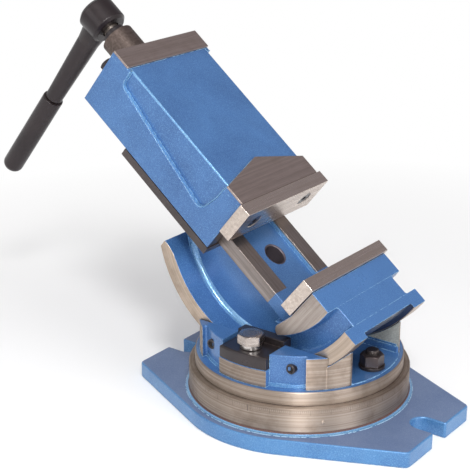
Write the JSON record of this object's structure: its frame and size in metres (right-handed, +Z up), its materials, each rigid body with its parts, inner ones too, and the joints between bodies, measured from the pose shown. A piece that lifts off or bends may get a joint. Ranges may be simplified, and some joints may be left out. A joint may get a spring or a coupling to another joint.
{
  "type": "machine vise",
  "caption": "Two-way tilting machine vise: round swivel base, drum bed clamped in a saddle, fixed and sliding jaws with ground plates, screw and crank handle.",
  "frame": {"origin": "centre of the swivel axis on the underside of the base", "axes": "+X along the base towards the fixed jaw's side, +Y level across the jaws, +Z up along the swivel axis"},
  "size_m": [0.5312, 0.226, 0.3559],
  "materials": {
    "blue_paint": "blue gloss paint on cast iron, machined faces left bare",
    "machined_iron": "machined",
    "ground_steel": "ground",
    "black_steel": "blackened",
    "bright_steel": "bright",
    "bronze": "as machined"
  },
  "bodies": {
    "base": {"base_plate": "blue_paint", "ring_rivet": "bright_steel"},
    "swivel": {"clamp_block_far": "black_steel", "clamp_block_near": "black_steel", "clamp_bolt_far": "bright_steel", "clamp_bolt_near": "bright_steel", "clamp_washer_far": "bright_steel", "clamp_washer_near": "bright_steel", "hold_down_bolt_left": "black_steel", "hold_down_bolt_right": "black_steel", "hold_down_nut_left": "black_steel", "hold_down_nut_right": "black_steel", "hold_down_washer_left": "black_steel", "hold_down_washer_right": "black_steel", "saddle": "blue_paint", "set_screw_far_left": "black_steel", "set_screw_far_right": "black_steel", "set_screw_near_left": "black_steel", "set_screw_near_right": "black_steel"},
    "bed": {"fixed_plate": "ground_steel", "fixed_plate_screw_far": "black_steel", "fixed_plate_screw_near": "black_steel", "lead_nut": "bronze", "lead_nut_screw_front": "black_steel", "lead_nut_screw_rear": "black_steel", "vise_body": "blue_paint"},
    "jaw": {"keeper_screw_far_front": "black_steel", "keeper_screw_far_rear": "black_steel", "keeper_screw_near_front": "black_steel", "keeper_screw_near_rear": "black_steel", "keeper_strip_far": "machined_iron", "keeper_strip_near": "machined_iron", "moving_jaw": "blue_paint", "moving_plate": "ground_steel", "moving_plate_screw_far": "black_steel", "moving_plate_screw_near": "black_steel", "rear_bolt_far": "black_steel", "rear_bolt_near": "black_steel"},
    "screw": {"crank_grip": "black_steel", "crank_handle": "black_steel", "lead_screw": "bright_steel", "screw_collar": "black_steel"}
  },
  "joints": [
    {"name": "swivel", "type": "hinge", "parent": "base", "child": "swivel", "pos_m": [0, 0, 0], "axis": [0, 0, 1], "continuous": true},
    {"name": "tilt", "type": "hinge", "parent": "swivel", "child": "bed", "pos_m": [0, 0, 0.1723], "axis": [0, 1, 0], "range_deg": [-39, 41]},
    {"name": "jaw_slide", "type": "slide", "parent": "bed", "child": "jaw", "axis": [0.7771, 0, -0.6293], "range_m": [-0.026, 0.0733]},
    {"name": "screw_spin", "type": "hinge", "parent": "jaw", "child": "screw", "pos_m": [-0.2159, 0, 0.31883], "axis": [0.7771, 0, -0.6293], "continuous": true}
  ],
  "couplings": [
    {"joint": "screw_spin", "follows": "jaw_slide", "rad_per_m": 1256.6}
  ]
}
